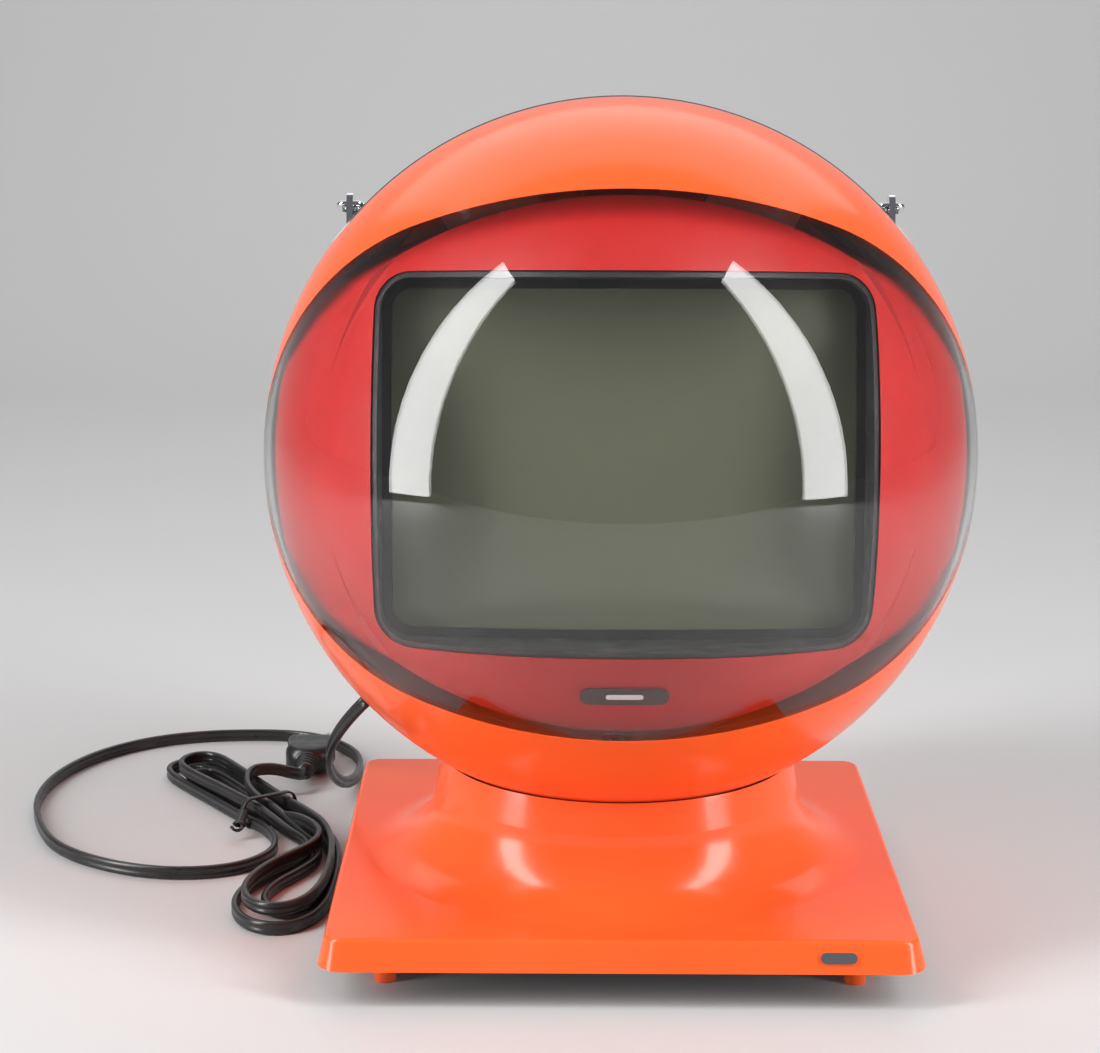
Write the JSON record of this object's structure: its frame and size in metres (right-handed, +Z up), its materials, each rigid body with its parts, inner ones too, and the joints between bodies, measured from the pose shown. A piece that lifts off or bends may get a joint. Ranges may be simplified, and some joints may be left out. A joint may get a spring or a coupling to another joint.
{
  "type": "portable television",
  "caption": "Ball-shaped portable television with a clear front visor, top control recess, hanging chain and rod antenna, swivelling on a square pedestal base.",
  "frame": {"origin": "on the table under the centre of the pedestal base", "axes": "+Z up, the screen faces -Y, +X to the right of the screen as the viewer sees it"},
  "size_m": [0.3898, 0.351, 0.3165],
  "materials": {
    "orange_body": "glossy moulded plastic",
    "red_mask": "satin moulded plastic",
    "smoke_visor": "clear, lightly smoked, polished",
    "black_plastic": "fine satin",
    "tube_glass": "grey-green screen glass",
    "chrome": "bright plated",
    "steel": "zinc plated sheet",
    "aluminium": "plain extruded",
    "board": "phenolic board",
    "components": "mixed sleeves and cases",
    "copper": "enamelled winding",
    "ferrite": "dull grey",
    "felt": "pressed felt",
    "cord_rubber": "smooth black jacket"
  },
  "bodies": {
    "base": {"base_shell": "orange_body", "base_pan": "black_plastic", "base_feet": "orange_body", "base_screws": "steel", "glide_ring": "felt", "pivot_bracket": "steel", "swivel_spindle": "steel", "spindle_nut": "steel", "base_badge": "chrome", "power_cord": "cord_rubber", "cord_tail": "cord_rubber", "cord_hank": "cord_rubber", "cord_tie": "black_plastic", "mains_plug": "cord_rubber"},
    "ball": {"anode_lead": "cord_rubber", "antenna_socket": "black_plastic", "antenna_terminals": "black_plastic", "board_components": "components", "chain_lugs": "chrome", "channel_tuners": "steel", "chassis_frame": "steel", "control_panel": "black_plastic", "cord_strain_relief": "cord_rubber", "deflection_yoke": "copper", "earphone_jack": "black_plastic", "front_shell": "orange_body", "heat_sink": "aluminium", "hold_controls": "steel", "line_output_transformer": "ferrite", "loudspeaker": "steel", "main_board": "board", "mask_badge": "black_plastic", "mask_badge_inlay": "chrome", "panel_trim": "chrome", "picture_and_sound_controls": "steel", "picture_tube": "tube_glass", "power_transformer": "steel", "rear_screws": "steel", "rear_shell": "orange_body", "screen_mask": "red_mask", "screen_surround": "black_plastic", "socket_board": "board", "swivel_hub": "steel", "tube_band": "steel", "visor": "smoke_visor"},
    "vhf_knob": {"vhf_knob": "black_plastic"},
    "fine_tuning_ring": {"fine_tuning_ring": "chrome"},
    "uhf_knob": {"uhf_knob": "black_plastic"},
    "volume_knob": {"volume_knob": "black_plastic"},
    "brightness_knob": {"brightness_knob": "black_plastic"},
    "contrast_knob": {"contrast_knob": "black_plastic"},
    "vertical_hold_knob": {"vertical_hold_knob": "black_plastic"},
    "horizontal_hold_knob": {"horizontal_hold_knob": "black_plastic"},
    "antenna_turret": {"antenna_turret": "chrome"},
    "antenna_section_2": {"antenna_section_2": "chrome"},
    "antenna_section_3": {"antenna_section_3": "chrome"},
    "antenna_section_4": {"antenna_section_4": "chrome"},
    "chain": {"hanging_chain": "chrome"},
    "antenna_arm": {"antenna_knuckle": "chrome", "antenna_section_1": "chrome"}
  },
  "joints": [
    {"name": "ball_swivel", "type": "hinge", "parent": "base", "child": "ball", "pos_m": [0, 0, 0.05], "axis": [0, 0, 1], "range_deg": [-45, 45]},
    {"name": "channel_select", "type": "hinge", "parent": "ball", "child": "vhf_knob", "pos_m": [-0.05681, 0.02576, 0.28557], "axis": [-0.4695, 0.1229, 0.8744], "continuous": true},
    {"name": "fine_tuning", "type": "hinge", "parent": "ball", "child": "fine_tuning_ring", "pos_m": [-0.05681, 0.02576, 0.28557], "axis": [-0.4695, 0.1229, 0.8744], "range_deg": [-170, 170]},
    {"name": "uhf_tuning", "type": "hinge", "parent": "ball", "child": "uhf_knob", "pos_m": [0.05681, 0.02576, 0.28557], "axis": [0.4695, 0.1229, 0.8744], "range_deg": [-150, 150]},
    {"name": "brightness_turn", "type": "hinge", "parent": "ball", "child": "brightness_knob", "pos_m": [-0.01935, 0.00375, 0.30139], "axis": [-0.1599, 0.1374, 0.9775], "range_deg": [-140, 140]},
    {"name": "volume_turn", "type": "hinge", "parent": "ball", "child": "volume_knob", "pos_m": [0, 0.00397, 0.30293], "axis": [0, 0.1392, 0.9903], "range_deg": [-280, 0]},
    {"name": "contrast_turn", "type": "hinge", "parent": "ball", "child": "contrast_knob", "pos_m": [0.01935, 0.00375, 0.30139], "axis": [0.1599, 0.1374, 0.9775], "range_deg": [-140, 140]},
    {"name": "vertical_hold_turn", "type": "hinge", "parent": "ball", "child": "vertical_hold_knob", "pos_m": [-0.084, 0.10382, 0.20104], "axis": [-0.6222, 0.7691, 0.1462], "range_deg": [-140, 140]},
    {"name": "horizontal_hold_turn", "type": "hinge", "parent": "ball", "child": "horizontal_hold_knob", "pos_m": [-0.092, 0.09878, 0.17954], "axis": [-0.6815, 0.7317, -0.0131], "range_deg": [-140, 140]},
    {"name": "chain_swing", "type": "hinge", "parent": "ball", "child": "chain", "pos_m": [0, 0.02109, 0.27387], "axis": [1, 0, 0], "range_deg": [0, 112]},
    {"name": "antenna_swivel", "type": "hinge", "parent": "ball", "child": "antenna_turret", "pos_m": [0.085, 0.09631, 0.11929], "axis": [0, 0.9903, -0.1392], "range_deg": [0, 100]},
    {"name": "antenna_fold", "type": "hinge", "parent": "antenna_turret", "child": "antenna_arm", "pos_m": [0.085, 0.10522, 0.11804], "axis": [-1, 0, 0], "range_deg": [0, 100]},
    {"name": "antenna_pull_1", "type": "slide", "parent": "antenna_arm", "child": "antenna_section_2", "axis": [0, 0.1392, 0.9903], "range_m": [0, 0.115]},
    {"name": "antenna_pull_2", "type": "slide", "parent": "antenna_section_2", "child": "antenna_section_3", "axis": [0, 0.1392, 0.9903], "range_m": [0, 0.113]},
    {"name": "antenna_pull_3", "type": "slide", "parent": "antenna_section_3", "child": "antenna_section_4", "axis": [0, 0.1392, 0.9903], "range_m": [0, 0.111]}
  ]
}
